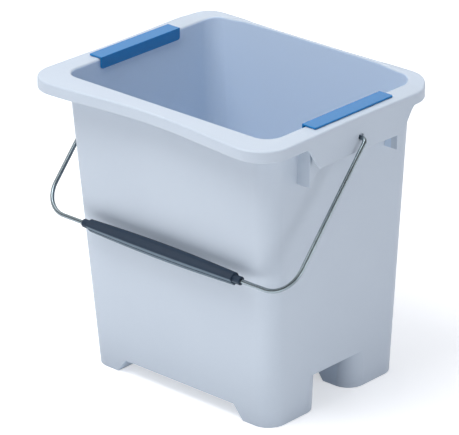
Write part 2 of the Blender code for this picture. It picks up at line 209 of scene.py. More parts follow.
def skin(shape: bmesh.types.BMesh, rings: list[Ring]) -> list[list[bmesh.types.BMFace]]:
    """Skin closed rings of equal length and cap both ends.

    Args:
        shape: The mesh that gets the faces.
        rings: The outlines, in order.

    Returns:
        The faces between each ring and the next one.
    """
    loops = [[shape.verts.new(point) for point in ring] for ring in rings]
    bands = []
    for lower, upper in zip(loops, loops[1:]):
        band = []
        for index, corner in enumerate(lower):
            follower = (index + 1) % len(lower)
            corners = (corner, lower[follower], upper[follower], upper[index])
            band.append(shape.faces.new(corners))
        bands.append(band)
    shape.faces.new(loops[0][::-1])
    shape.faces.new(loops[-1])
    return bands


def into_scene(name: str, shape: bmesh.types.BMesh) -> Piece:
    """Turn a worked mesh into an object of the scene.

    Args:
        name: The object's name.
        shape: The worked mesh, which is freed.

    Returns:
        The object.
    """
    mesh = bpy.data.meshes.new(name)
    shape.to_mesh(mesh)
    shape.free()
    made = bpy.data.objects.new(name, mesh)
    bpy.context.scene.collection.objects.link(made)
    return made


def solid_from_rings(name: str, rings: list[Ring]) -> Piece:
    """Build a closed solid from rings of equal length.

    Args:
        name: The object's name.
        rings: The outlines, in order.

    Returns:
        The solid.
    """
    shape = bmesh.new()
    skin(shape, rings)
    bmesh.ops.recalc_face_normals(shape, faces=shape.faces)
    return into_scene(name, shape)


def prism(name: str, outline: list[Point], along: Point) -> Piece:
    """Push a flat outline along a direction to make a solid."""
    far = [(x + along[0], y + along[1], z + along[2]) for x, y, z in outline]
    return solid_from_rings(name, [outline, far])


def combine(target: Piece, tool: Piece, how: Cut) -> None:
    """Combine a tool solid with a target and drop the tool.

    Args:
        target: The solid that changes.
        tool: The solid that joins it, cuts it or bounds it.
        how: Which of the three.
    """
    modifier = target.modifiers.new("combine", "BOOLEAN")
    modifier.operation = how.value
    modifier.solver = "EXACT"
    modifier.material_mode = "TRANSFER"
    modifier.object = tool
    graph = bpy.context.evaluated_depsgraph_get()
    made = bpy.data.meshes.new_from_object(target.evaluated_get(graph))
    target.modifiers.remove(modifier)
    target.data = made
    bpy.data.objects.remove(tool)


def round_edges(
    piece: Piece,
    radius: float,
    wanted: Callable[[bmesh.types.BMEdge], bool] = lambda edge: True,
    steps: int = 3,
) -> None:
    """Round the sharp edges of a piece.

    Args:
        piece: The piece to change.
        radius: The size of the rounding.
        wanted: Picks among the sharp edges.
        steps: Faces across the rounding.
    """
    shape = bmesh.new()
    shape.from_mesh(piece.data)
    bmesh.ops.remove_doubles(shape, verts=shape.verts, dist=SAME_POINT)
    sharp = [edge for edge in shape.edges if edge.calc_face_angle(0.0) > SHARP_EDGE]
    bmesh.ops.bevel(
        shape,
        geom=[edge for edge in sharp if wanted(edge)],
        offset=radius,
        offset_type="OFFSET",
        segments=steps,
        profile=ROUND_PROFILE,
        affect="EDGES",
        clamp_overlap=True,
    )
    shape.to_mesh(piece.data)
    shape.free()


def middle(edge: bmesh.types.BMEdge) -> Vector:
    """Return the middle of an edge."""
    return (edge.verts[0].co + edge.verts[1].co) / 2


def set_in_place(
    piece: Piece,
    node: str,
    body: str,
    material: bpy.types.Material,
) -> None:
    """Shade a piece, give it its finish and let it stand for its solid.

    Args:
        piece: The finished mesh.
        node: The solid that it replaces.
        body: The body that it moves with.
        material: The finish.
    """
    mesh = piece.data
    mesh.materials.clear()
    mesh.materials.append(material)
    mesh.polygons.foreach_set("material_index", [0] * len(mesh.polygons))
    mesh.polygons.foreach_set("use_smooth", [True] * len(mesh.polygons))
    mesh.set_sharp_from_angle(angle=SHADED_SHARP)
    normals = piece.modifiers.new("even shading", "WEIGHTED_NORMAL")
    normals.keep_sharp = True
    normals.weight = LARGE_FACE_WEIGHT
    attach(piece, body)
    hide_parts(node)
    LOG.info("%s: %d faces on body %s", piece.name, len(mesh.polygons), body)


@dataclass(frozen=True)
class Finish:
    """What every finish has: its name, colour and typical optical values."""

    name: str
    colour: str
    roughness: float
    ior: float = 1.45
    metallic: float = 0.0
    # How far the wear takes the roughness down and up
    rough_spread: Flat = (0.0, 0.0)

    def start(self) -> tuple[Tree, bpy.types.Node, bpy.types.Material]:
        """Begin the material.

        Returns:
            Its node tree, its shader and the material itself.
        """
        material = bpy.data.materials.new(self.name)
        material.use_nodes = True
        tree = material.node_tree
        shader = tree.nodes["Principled BSDF"]
        shader.inputs["Base Color"].default_value = linear(self.colour)
        shader.inputs["Roughness"].default_value = self.roughness
        shader.inputs["Metallic"].default_value = self.metallic
        if self.metallic == 0.0:
            shader.inputs["IOR"].default_value = self.ior
        return tree, shader, material

    def grain(self, tree: Tree, size: float, detail: float = 2.0) -> Socket:
        """Add a pattern of soft spots of about one size.

        Args:
            tree: The material's nodes.
            size: The spots' size in metres.
            detail: How many finer layers it has.

        Returns:
            The pattern.
        """
        place = add_node(tree, "ShaderNodeTexCoord")
        spots = add_node(
            tree,
            "ShaderNodeTexNoise",
            inputs={"Vector": place.outputs["Object"], "Scale": 1 / size, "Detail": detail},
        )
        return spots.outputs["Fac"]

    def cover(
        self,
        tree: Tree,
        shader: bpy.types.Node,
        colour: Socket,
        wear: Socket,
        reliefs: list[tuple[Socket, float, float]],
    ) -> None:
        """Give the shader its colour, its uneven roughness and its relief.

        Args:
            tree: The material's nodes.
            shader: The material's shader.
            colour: The colour of each place.
            wear: The pattern that the roughness follows.
            reliefs: Each relief's pattern, depth in metres and strength, the coarse one first.
        """
        smoother, rougher = self.rough_spread
        rough = add_node(
            tree,
            "ShaderNodeMapRange",
            inputs={
                "Value": wear,
                "From Min": NOISE_RANGE[0],
                "From Max": NOISE_RANGE[1],
                "To Min": self.roughness - smoother,
                "To Max": self.roughness + rougher,
            },
        )
        below = {}
        for pattern, depth, strength in reliefs:
            inputs = {"Height": pattern, "Distance": depth, "Strength": strength} | below
            relief = add_node(tree, "ShaderNodeBump", inputs=inputs)
            below = {"Normal": relief.outputs["Normal"]}
        surface = {"Base Color": colour, "Roughness": rough.outputs["Result"]} | below
        for name, socket in surface.items():
            tree.links.new(socket, shader.inputs[name])


@dataclass(frozen=True)
class MouldedPolypropylene(Finish):
    """Injection-moulded polypropylene from a spark-eroded mould.

    The fine matt grain spreads the highlights, thick and thin stretches cool a little
    unevenly, and use dulls the feet.
    """

    name: str = "moulded_polypropylene_spark_grain"
    colour: str = "CAD4DE"
    roughness: float = 0.42
    ior: float = 1.49
    rough_spread: Flat = (0.04, 0.05)
    # Uneven cooling leaves clouds about as wide as a palm
    cloud_colour: str = "C5CFDA"
    cloud_size: float = 70 * MM
    cloud_detail: float = 3.0
    # Painted light: the inner skin is painted lighter and bluer than the outside, standing in for
    # light bouncing round inside the bucket
    painted_inside_light_colour: str = "CFDFF1"
    # Middle and half width of the space inside the walls along each level axis
    inside_reach: tuple[tuple[str, float, float], ...] = (
        ("X", 0.0, 0.1465),
        ("Y", 0.0119, 0.1142),
    )
    # A face counts as inside the further it stands from the middle and looks back at it
    inside_range: Flat = (-0.030, -0.070)
    # Keeps faces that look up out of the inside
    inside_lift: float = 0.15
    # Scuffs of about a fingertip's width where the feet meet the ground
    foot_colour: str = "B4BDCB"
    foot_height: float = 22 * MM
    foot_wear: float = 0.40
    scuff_size: float = 9 * MM
    scuff_detail: float = 5.0
    # Long shallow sink waves of a large moulded wall
    wave_size: float = 45 * MM
    wave_detail: float = 0.0
    wave_depth: float = 0.12 * MM
    wave_strength: float = 0.6
    # The real grain is about 0.2 mm, too fine to show, so it is drawn five times as coarse
    grain_size: float = 1.0 * MM
    grain_depth: float = 0.03 * MM
    grain_strength: float = 0.5

    def inside(self, tree: Tree, place: bpy.types.Node, where: bpy.types.Node) -> Socket:
        """Tell which places lie on the inner skin, which is painted lighter and bluer for the light
        bouncing inside.

        Args:
            tree: The material's nodes.
            place: The node that gives each place and its normal.
            where: The node that splits the place into its coordinates.

        Returns:
            What is 1 on the inner skin and 0 elsewhere.
        """
        outwards = add_node(
            tree,
            "ShaderNodeVectorMath",
            {"operation": "MULTIPLY_ADD"},
            {0: place.outputs["Object"], 1: (1.0, 1.0, 0.0), 2: (0.0, 0.0, self.inside_lift)},
        )
        facing = add_node(
            tree,
            "ShaderNodeVectorMath",
            {"operation": "DOT_PRODUCT"},
            {0: outwards.outputs["Vector"], 1: place.outputs["Normal"]},
        )
        inwards = add_node(
            tree,
            "ShaderNodeMapRange",
            {"interpolation_type": "SMOOTHSTEP"},
            {
                "Value": facing.outputs["Value"],
                "From Min": self.inside_range[0],
                "From Max": self.inside_range[1],
            },
        )
        inside = inwards.outputs["Result"]
        for axis, centre, reach in self.inside_reach:
            within = add_node(
                tree,
                "ShaderNodeMath",
                {"operation": "COMPARE"},
                {0: where.outputs[axis], 1: centre, 2: reach},
            )
            both = add_node(
                tree,
                "ShaderNodeMath",
                {"operation": "MULTIPLY"},
                {0: inside, 1: within.outputs["Value"]},
            )
            inside = both.outputs["Value"]
        return inside

    def worn(self, tree: Tree, where: bpy.types.Node, scuffs: Socket) -> Socket:
        """Tell how much each place is worn by the ground.

        Args:
            tree: The material's nodes.
            where: The node that splits each place into its coordinates.
            scuffs: The pattern of the scuffs.

        Returns:
            The wear, most at the very bottom.
        """
        low = add_node(
            tree,
            "ShaderNodeMapRange",
            {"interpolation_type": "SMOOTHSTEP"},
            {
                "Value": where.outputs["Z"],
                "From Min": 0.0,
                "From Max": self.foot_height,
                "To Min": self.foot_wear,
                "To Max": 0.0,
            },
        )
        worn = add_node(
            tree,
            "ShaderNodeMath",
            {"operation": "MULTIPLY"},
            {0: low.outputs["Result"], 1: scuffs},
        )
        return worn.outputs["Value"]

    def material(self) -> bpy.types.Material:
        """Build the material.

        Returns:
            The material.
        """
        tree, shader, material = self.start()
        place = add_node(tree, "ShaderNodeTexCoord")
        where = add_node(tree, "ShaderNodeSeparateXYZ", inputs={0: place.outputs["Object"]})
        clouds = self.grain(tree, self.cloud_size, self.cloud_detail)
        scuffs = self.grain(tree, self.scuff_size, self.scuff_detail)
        waves = self.grain(tree, self.wave_size, self.wave_detail)
        pits = self.grain(tree, self.grain_size)
        layers = [
            (clouds, self.colour),
            # Painted light: the inner skin is painted lighter and bluer for light bouncing inside
            (self.inside(tree, place, where), self.painted_inside_light_colour),
            (self.worn(tree, where, scuffs), self.foot_colour),
        ]
        reliefs = [
            (waves, self.wave_depth, self.wave_strength),
            (pits, self.grain_depth, self.grain_strength),
        ]
        colour = lay_colours(tree, self.cloud_colour, layers)
        self.cover(tree, shader, colour, scuffs, reliefs)
        return material


@dataclass(frozen=True)
class DrawnSteel(Finish):
    """Bright zinc-plated steel wire, drawn through a die.

    Drawing leaves fine lines along the wire, so its mirror breaks up round the wire
    and stays long along it.
    """

    name: str = "drawn_steel_wire_bright_plated"
    colour: str = "96A2A8"
    roughness: float = 0.2
    metallic: float = 1.0
    rough_spread: Flat = (0.06, 0.10)
    line_colour: str = "667177"
    # Real die lines are a few hundredths of a millimetre apart; these are drawn ten times as wide
    line_width: float = 0.4 * MM
    line_length: float = 30 * MM
    line_detail: float = 2.0
    line_depth: float = 0.02 * MM
    line_strength: float = 0.4

    def material(self) -> bpy.types.Material:
        """Build the material.

        Returns:
            The material.
        """
        tree, shader, material = self.start()
        place = add_node(tree, "ShaderNodeUVMap", {"uv_map": WIRE_UV})
        lines = add_node(
            tree,
            "ShaderNodeMapping",
            inputs={
                "Vector": place.outputs["UV"],
                "Scale": (1 / self.line_width, 1 / self.line_length, 1),
            },
        )
        noise = add_node(
            tree,
            "ShaderNodeTexNoise",
            inputs={"Vector": lines.outputs["Vector"], "Scale": 1.0, "Detail": self.line_detail},
        )
        streaks = noise.outputs["Fac"]
        colour = lay_colours(tree, self.line_colour, [(streaks, self.colour)])
        reliefs = [(streaks, self.line_depth, self.line_strength)]
        self.cover(tree, shader, colour, streaks, reliefs)
        return material


@dataclass(frozen=True)
class MouldedColour(Finish):
    """Coloured plastic from a smooth mould: a satin or glossy skin with a faint orange peel."""

    rough_spread: Flat = (0.02, 0.02)
    # Pigment that is not quite evenly mixed, in clouds of a thumb's width
    cloud_colour: str = "000000"
    cloud_size: float = 14 * MM
    cloud_detail: float = 3.0
    # Handling leaves the gloss uneven in spots of a few millimetres
    handling_size: float = 6 * MM
    handling_detail: float = 4.0
    # Orange peel of a polished mould has waves of about 1.5 mm
    peel_size: float = 1.5 * MM
    peel_depth: float = 0.006 * MM
    peel_strength: float = 0.5
    # Painted reflection: a side painted paler, standing in for the bright floor mirrored at a
    # grazing angle; which way it faces, and how squarely
    painted_reflection_colour: str = ""
    painted_reflection_side: Point = (0.0, 0.0, -1.0)
    painted_reflection_range: Flat = (0.90, 0.98)

    def painted_reflection(self, tree: Tree) -> Socket:
        """Tell how much of the painted floor reflection each place gets.

        Args:
            tree: The material's nodes.

        Returns:
            The wear, by the way that the place faces.
        """
        place = add_node(tree, "ShaderNodeTexCoord")
        facing = add_node(
            tree,
            "ShaderNodeVectorMath",
            {"operation": "DOT_PRODUCT"},
            {0: place.outputs["Normal"], 1: self.painted_reflection_side},
        )
        painted_reflection = add_node(
            tree,
            "ShaderNodeMapRange",
            {"interpolation_type": "SMOOTHSTEP"},
            {
                "Value": facing.outputs["Value"],
                "From Min": self.painted_reflection_range[0],
                "From Max": self.painted_reflection_range[1],
            },
        )
        return painted_reflection.outputs["Result"]

    def material(self) -> bpy.types.Material:
        """Build the material.

        Returns:
            The material.
        """
        tree, shader, material = self.start()
        layers = [(self.grain(tree, self.cloud_size, self.cloud_detail), self.colour)]
        # Painted reflection: faces turned the given way are painted paler for the bright floor that
        # they mirror
        if self.painted_reflection_colour:
            layers.append((self.painted_reflection(tree), self.painted_reflection_colour))
        colour = lay_colours(tree, self.cloud_colour, layers)
        handling = self.grain(tree, self.handling_size, self.handling_detail)
        reliefs = [(self.grain(tree, self.peel_size), self.peel_depth, self.peel_strength)]
        self.cover(tree, shader, colour, handling, reliefs)
        return material


BODY_PLASTIC = MouldedPolypropylene()
WIRE_STEEL = DrawnSteel()
GRIP_PLASTIC = MouldedColour(
    name="moulded_polypropylene_dark_satin",
    colour="0C2A40",
    roughness=0.65,
    ior=1.49,
    cloud_colour="0B2238",
    # Painted reflection: the underside facing down and forward is painted paler for the bright
    # floor that it mirrors
    painted_reflection_colour="5C6F7D",
    painted_reflection_side=(0.0, -0.8, -0.6),
)
CLIP_PLASTIC = MouldedColour(
    name="moulded_polypropylene_blue_gloss",
    colour="007ABC",
    roughness=0.25,
    ior=1.49,
    cloud_colour="0076B6",
)


@dataclass(frozen=True)
class Station:
    """A place on an outline: part runs from 0 to 1 along a side or round a corner."""

    edge: Edge
    part: float


@dataclass(frozen=True)
class Plan:
    """A rounded rectangle seen from above, with the front and short sides bowed inwards."""

    half_length: float
    front: float
    back: float
    front_radius: float
    back_radius: float
    front_bow: float = 0.0
    side_bow: float = 0.0
    # How gently a bow starts and ends
    bow_power: float = 1.5

    def inset(self, distance: float) -> "Plan":
        """Return the outline moved inwards."""
        return replace(
            self,
            half_length=self.half_length - distance,
            front=self.front + distance,
            back=self.back - distance,
            front_radius=self.front_radius - distance,
            back_radius=self.back_radius - distance,
        )

    def point(self, station: Station) -> Flat:
        """Find a place on the outline.

        Args:
            station: The place.

        Returns:
            Its x and y.
        """
        near = self.front + self.front_radius
        far = self.back - self.back_radius
        bow = max(math.sin(math.pi * station.part), 0.0) ** self.bow_power
        if station.edge is Edge.RIGHT:
            return self.half_length - self.side_bow * bow, near + (far - near) * station.part
        if station.edge is Edge.LEFT:
            return self.side_bow * bow - self.half_length, far + (near - far) * station.part
        if station.edge is Edge.BACK:
            return (self.half_length - self.back_radius) * (1 - 2 * station.part), self.back
        if station.edge is Edge.FRONT:
            reach = self.half_length - self.front_radius
            return reach * (2 * station.part - 1), self.front + self.front_bow * bow
        at_back = station.edge in (Edge.BACK_RIGHT, Edge.BACK_LEFT)
        at_right = station.edge in (Edge.BACK_RIGHT, Edge.FRONT_RIGHT)
        angle = (CORNERS.index(station.edge) + station.part) * QUARTER
        radius = self.back_radius if at_back else self.front_radius
        reach = self.half_length - radius
        centre_x = reach if at_right else -reach
        centre_y = far if at_back else near
        return centre_x + radius * math.cos(angle), centre_y + radius * math.sin(angle)


@dataclass
class BucketBody:
    """The moulded bucket: flanged rim, ears, ribs, leaning walls and feet."""

    rim_length: float = 0.326
    rim_depth: float = 0.264
    rim_height: float = 0.325
    rim_front_radius: float = 0.034
    rim_back_radius: float = 0.036
    rim_edge_radius: float = 0.002
    front_bow: float = 0.010
    side_bow: float = 0.0016
    flange_thickness: float = 0.003
    skirt_height: float = 0.0125
    skirt_thickness: float = 0.0025
    back_rise: float = 0.0047
    back_rise_run: float = 0.028
    mouth_radius: float = 0.0025
    lip_rise: float = 0.0027
    lip_radius: float = 0.0015
    # How much less the outer edge and how much more the mouth's edge turns over at the lip
    lip_turn: float = 0.5
    # Shares of the back's length, from each end
    lip_risen: float = 0.14
    slope_start: float = 0.10
    slope_full: float = 0.35
    side_flange: float = 0.022
    front_flange: float = 0.0301
    back_flange: float = 0.0064
    side_draft: float = 0.017
    front_draft: float = 0.0231
    back_draft: float = 0.004
    corner_radius: float = 0.021
    wall: float = 0.003
    inner_radius: float = 0.004
    ear_depth: float = 0.0375
    ear_length: float = 0.121
    ear_flare: float = 0.022
    rib_pitch: float = 0.1337
    rib_thickness: float = 0.004
    rib_drop: float = 0.058
    rib_setback: float = 0.0085
    channel_height: float = 0.0157
    channel_top: float = 0.150
    channel_mouth: float = 0.174
    recess_height: float = 0.0415
    recess_width: float = 0.048
    recess_reach: float = 0.055
    recess_end_radius: float = 0.010
    foot_radius: float = 0.020
    # The feet's rounding stops short of a quarter, where the recess runs out of the wall
    foot_turn: float = math.radians(86)
    recess_overrun: float = 0.001
    pivot_drop: float = 0.023
    hole_diameter: float = 0.0070
    # The wire rests on the lowest point of its hole, so the hole's middle lies above the wire's
    hole_rise: float = 0.00095
    hole_lip: float = 0.0005
    hole_overrun: float = 0.004
    wall_fillet: float = 0.0018
    skirt_fillet: float = 0.001
    foot_edge: float = 0.001
    riser_edge: float = 0.0015
    rib_edge: float = 0.0007
    # Heights of the lines round the walls, and shares across the flange of those on it
    wall_levels: tuple[float, ...] = (0.06, 0.13, 0.20, 0.27)
    flange_shares: tuple[float, ...] = (0.25, 0.5, 0.75)
    # The stretch of an ear, as a share either way, whose stations are evenly spaced
    ear_even: float = 0.45
    hole_lip_angles: tuple[float, ...] = (0.5, 1.0, 1.5)
    ear_steps: int = 10
    flare_steps: int = 16
    corner_steps: int = 16
    long_side_steps: int = 40
    fillet_steps: int = 6
    hem_steps: int = 8
    foot_steps: int = 14
    recess_end_steps: int = 8
    hole_steps: int = 40
    finish: MouldedPolypropylene = BODY_PLASTIC

    def __post_init__(self) -> None:
        """Work out the rim outline, the pivot and the stations round the outline."""
        half_depth = self.rim_depth / 2
        self.rim = Plan(
            self.rim_length / 2,
            -half_depth,
            half_depth,
            self.rim_front_radius,
            self.rim_back_radius,
            self.front_bow,
            self.side_bow,
        )
        self.ear_y = (self.front_flange - self.back_flange) / 2
        self.ear_face = self.rim_length / 2 - self.side_bow
        self.pivot_z = self.rim_height - self.pivot_drop
        self.stations = self.make_stations()

    def side_parts(self) -> list[float]:
        """Divide a short side, more finely where the ear flares.

        Returns:
            The parts along the side, from 0 at the front to 1 at the back.
        """
        near = self.rim.front + self.rim.front_radius
        far = self.rim.back - self.rim.back_radius
        places = [near, far]
        shares = sweep(-self.ear_even, self.ear_even, self.ear_steps)
        places += [self.ear_y + share * self.ear_length for share in shares]
        for reach in sweep(0.0, self.ear_flare, self.flare_steps):
            distance = self.ear_length / 2 + reach
            places += [self.ear_y - distance, self.ear_y + distance]
        on_side = sorted(place for place in places if near <= place <= far)
        return [(place - near) / (far - near) for place in on_side]

    def make_stations(self) -> list[Station]:
        """Divide an outline, anticlockwise from the front of the right side.

        Returns:
            The stations that every ring of the shell uses.
        """
        corner = sweep(0.0, 1.0, self.corner_steps)[1:-1]
        long_side = sweep(0.0, 1.0, self.long_side_steps)
        short_side = self.side_parts()
        mirrored = [1 - part for part in reversed(short_side)]
        runs = {edge: corner for edge in Edge}
        runs[Edge.RIGHT] = short_side
        runs[Edge.LEFT] = mirrored
        runs[Edge.BACK] = runs[Edge.FRONT] = long_side
        return [Station(edge, part) for edge, parts in runs.items() for part in parts]

    def walls(self, z: float) -> Plan:
        """Return the outside of the body at a height."""
        below = 1 - z / self.rim_height
        return Plan(
            self.rim_length / 2 - self.side_flange - self.side_draft * below,
            self.front_flange - self.rim_depth / 2 + self.front_draft * below,
            self.rim_depth / 2 - self.back_flange - self.back_draft * below,
            self.corner_radius,
            self.corner_radius,
        )

    def top_z(self, y: float) -> float:
        """Return the height of the rim, which rises to the pouring edge."""
        start = self.rim_depth / 2 - self.back_rise_run
        return self.rim_height + self.back_rise * smooth_step((y - start) / self.back_rise_run)

    def hem_z(self, y: float) -> float:
        """Return the height of the skirt's lower edge, which drops along the ears."""
        flare = smooth_step((abs(y - self.ear_y) - self.ear_length / 2) / self.ear_flare)
        return self.rim_height - self.ear_depth + (self.ear_depth - self.skirt_height) * flare

    def along_back(self, station: Station) -> float:
        """Return how far along the back a place is from the nearer end, as a share of the back."""
        return min(station.part, 1 - station.part) if station.edge is Edge.BACK else 0.0

    def slope_share(self, station: Station) -> float:
        """Tell how far the pouring lip slopes: 1 in the middle of the back, 0 at its ends."""
        run = self.slope_full - self.slope_start
        return smooth_step((self.along_back(station) - self.slope_start) / run)

    def edge_z(self, station: Station, y: float) -> float:
        """Return the height of the outer rim edge, which stays low below the lip."""
        return self.top_z(y) - self.back_rise * self.slope_share(station)

    def crest_z(self, station: Station) -> float:
        """Find the height of the rim along the mouth, which is highest at the lip.

        Args:
            station: The place round the mouth.

        Returns:
            The height.
        """
        crest = self.walls(self.rim_height).inset(self.wall - self.lip_radius)
        lip = self.lip_rise * smooth_step(self.along_back(station) / self.lip_risen)
        return self.top_z(crest.point(station)[1]) + lip

    def level_ring(self, inset: float, z: float) -> Ring:
        """Return the body's outline at one height, moved inwards."""
        plan = self.walls(z).inset(inset)
        return [(*plan.point(station), z) for station in self.stations]

    def under_flange_ring(self, angle: float) -> Ring:
        """Draw a line on the fillet between the wall and the flange's underside.

        Args:
            angle: How far round the fillet, from the wall.

        Returns:
            The line.
        """
        ring = []
        out = self.wall_fillet * (1 - math.cos(angle))
        down = self.flange_thickness + self.wall_fillet * (1 - math.sin(angle))
        for station in self.stations:
            y = self.walls(self.rim_height).point(station)[1]
            z = self.top_z(y) - down
            ring.append((*self.walls(z).inset(-out).point(station), z))
        return ring

    def behind_skirt_ring(self, angle: float) -> Ring:
        """Draw a line on the fillet between the flange's underside and the skirt.

        Args:
            angle: How far round the fillet, from the flange.

        Returns:
            The line.
        """
        plan = self.rim.inset(self.skirt_thickness + self.skirt_fillet * (1 - math.sin(angle)))
        drop = self.flange_thickness + self.skirt_fillet * (1 - math.cos(angle))
        ring = []
        for station in self.stations:
            x, y = plan.point(station)
            ring.append((x, y, self.edge_z(station, y) - drop))
        return ring

    def hem_ring(self, angle: float) -> Ring:
        """Draw a line on the round lower edge of the skirt.

        Args:
            angle: How far round the edge, from the skirt's inside to its outside.

        Returns:
            The line.
        """
        half = self.skirt_thickness / 2
        plan = self.rim.inset(half + half * math.cos(angle))
        ring = []
        for station in self.stations:
            z = self.hem_z(self.rim.point(station)[1]) + half * (1 - math.sin(angle))
            ring.append((*plan.point(station), z))
        return ring

    def edge_ring(self, angle: float) -> Ring:
        """Draw a line on the rounded outer rim edge.

        Args:
            angle: How far round the edge, from the skirt.

        Returns:
            The line.
        """
        ring = []
        for station in self.stations:
            radius = self.rim_edge_radius
            turn = angle * (1 - self.lip_turn * self.slope_share(station))
            x, y = self.rim.inset(radius * (1 - math.cos(turn))).point(station)
            ring.append((x, y, self.edge_z(station, y) - radius * (1 - math.sin(turn))))
        return ring

    def mouth_ring(self, angle: float) -> Ring:
        """Draw a line on the rounded inner rim edge.

        Args:
            angle: How far round the edge, from the inside of the wall.

        Returns:
            The line.
        """
        ring = []
        for station in self.stations:
            share = self.slope_share(station)
            radius = self.mouth_radius + (self.lip_radius - self.mouth_radius) * share
            turn = angle * (1 + self.lip_turn * share)
            z = self.crest_z(station) - radius * (1 - math.sin(turn))
            inset = self.wall - radius * (1 - math.cos(turn))
            ring.append((*self.walls(z).inset(inset).point(station), z))
        return ring

    def flange_ring(self, share: float) -> Ring:
        """Draw a line across the top of the flange.

        Args:
            share: How far it is from the outer edge to the mouth.

        Returns:
            The line.
        """
        ring = []
        for start, end in zip(self.edge_ring(QUARTER), self.mouth_ring(QUARTER)):
            x = start[0] + (end[0] - start[0]) * share
            y = start[1] + (end[1] - start[1]) * share
            level = start[2] - self.top_z(start[1])
            level += (end[2] - self.top_z(end[1]) - level) * share
            ring.append((x, y, self.top_z(y) + level))
        return ring

    def floor_ring(self, angle: float) -> Ring:
        """Draw a line on the rounding between the inner floor and the wall.

        Args:
            angle: How far round the rounding, from the floor.

        Returns:
            The line.
        """
        inset = self.wall + self.inner_radius * (1 - math.sin(angle))
        z = self.wall + self.inner_radius * (1 - math.cos(angle))
        return self.level_ring(inset, z)

    def shell(self) -> Piece:
        """Skin the whole shell from the outside of the base over the rim to the inner floor.

        Returns:
            The shell, still with a closed flat base.
        """
        quarter = sweep(0.0, QUARTER, self.fillet_steps)
        half_turn = sweep(0.0, math.pi, self.hem_steps)
        rings = [self.level_ring(0.0, z) for z in (0.0, *self.wall_levels)]
        rings += [self.under_flange_ring(angle) for angle in quarter]
        rings += [self.behind_skirt_ring(angle) for angle in quarter]
        rings += [self.hem_ring(angle) for angle in half_turn]
        rings += [self.edge_ring(angle) for angle in quarter]
        rings += [self.flange_ring(share) for share in self.flange_shares]
        rings += [self.mouth_ring(angle) for angle in reversed(quarter)]
        rings += [self.level_ring(self.wall, z) for z in reversed(self.wall_levels)]
        rings += [self.floor_ring(angle) for angle in reversed(quarter)]
        return solid_from_rings("mop_bucket_body", rings)

    def flatten_foot_band(self, body: Piece) -> None:
        """Merge the flat stretches of the lowest wall band, so that its edges round cleanly.

        Args:
            body: The shell, which changes.
        """
        shape = bmesh.new()
        shape.from_mesh(body.data)
        half_band = self.wall_levels[0] / 2
        flat = []
        for edge in shape.edges:
            low, high = sorted(vert.co.z for vert in edge.verts)
            upright = low < ON_FLOOR and high > half_band
            if upright and edge.calc_face_angle(math.pi) < FLAT_STRETCH:
                flat.append(edge)
        bmesh.ops.dissolve_edges(shape, edges=flat, use_verts=False)
        shape.to_mesh(body.data)
        shape.free()

    def channel(self, grow: float) -> Piece:
        """Build the space under the base from front to back.

        Args:
            grow: How far its faces are moved outwards.

        Returns:
            The space as a solid.
        """
        slope = (self.channel_mouth - self.channel_top) / 2 / self.channel_height
        sideways = grow * math.hypot(1, slope)
        height = self.channel_height + grow
        top = self.channel_top / 2 + sideways - slope * grow
        foot = self.channel_mouth / 2 + sideways + slope * CUT_MARGIN
        outline = [(-foot, -CUT_MARGIN), (foot, -CUT_MARGIN), (top, height), (-top, height)]
        reach = self.rim_depth / 2 + CUT_MARGIN
        return prism("channel", [(x, -reach, z) for x, z in outline], (0, 2 * reach, 0))

    def recess_ring(self, side: Side, z: float, grow: float) -> Ring:
        """Draw one level outline of the hand recess between two rounded feet.

        Args:
            side: The short side that it is in.
            z: The height.
            grow: How far its faces are moved outwards.

        Returns:
            The outline.
        """
        wall = self.walls(z).half_length
        turn = self.foot_turn
        half_width = self.recess_width / 2
        foot = (wall - self.foot_radius, half_width + self.foot_radius)
        foot_angles = sweep(turn - QUARTER, -QUARTER, self.foot_steps)
        flare = arc(foot, self.foot_radius - grow, foot_angles)
        outside = wall + self.recess_overrun
        ahead = (outside - flare[0][0]) / math.cos(turn)
        mouth = (outside, flare[0][1] + ahead * math.sin(turn))
        end_radius = self.recess_end_radius + grow
        end = (wall - self.recess_reach - grow + end_radius, half_width + grow - end_radius)
        end_angles = sweep(QUARTER, math.pi, self.recess_end_steps)
        half = [mouth] + flare + arc(end, end_radius, end_angles)
        outline = half + [(x, -y) for x, y in reversed(half)]
        base = self.walls(0)
        centre = (base.front + base.back) / 2
        return [(side.value * x, centre + y, z) for x, y in outline]

    def recess(self, side: Side, grow: float) -> Piece:
        """Build the hand recess of one short side, grown inwards and upwards if told."""
        levels = (-CUT_MARGIN, self.recess_height + grow)
        return solid_from_rings("recess", [self.recess_ring(side, z, grow) for z in levels])

    def risers(self) -> Piece:
        """Build what the channel and the recesses raise inside the bucket.

        Returns:
            The risers as one solid that ends within the walls.
        """
        raised = self.channel(self.wall)
        for side in Side:
            combine(raised, self.recess(side, self.wall), Cut.JOIN)
        inset = self.wall / 2
        above_risers = self.recess_height + 3 * self.wall
        rings = [self.level_ring(inset, z) for z in (inset, above_risers)]
        combine(raised, solid_from_rings("bounds", rings), Cut.SHARE)
        inside = self.wall + self.foot_edge
        round_edges(raised, self.riser_edge, lambda edge: middle(edge).z > inside)
        return raised

    def rib(self, side: Side, y: float) -> Piece:
        """Build one upright rib between the wall and the space behind the skirt.

        Args:
            side: The short side that it stands on.
            y: The middle of its thickness.

        Returns:
            The rib.
        """
        bottom = self.rim_height - self.rib_drop
        top = self.rim_height - self.flange_thickness / 2
        outer = self.rim_length / 2 - self.rib_setback
        outline = [
            (self.walls(bottom).half_length - self.wall / 2, bottom),
            (outer, bottom),
            (outer, top),
            (self.walls(top).half_length - self.wall / 2, top),
        ]
        start = y - self.rib_thickness / 2
        face = [(side.value * x, start, z) for x, z in outline]
        rib = prism("rib", face, (0, self.rib_thickness, 0))
        round_edges(rib, self.rib_edge)
        return rib

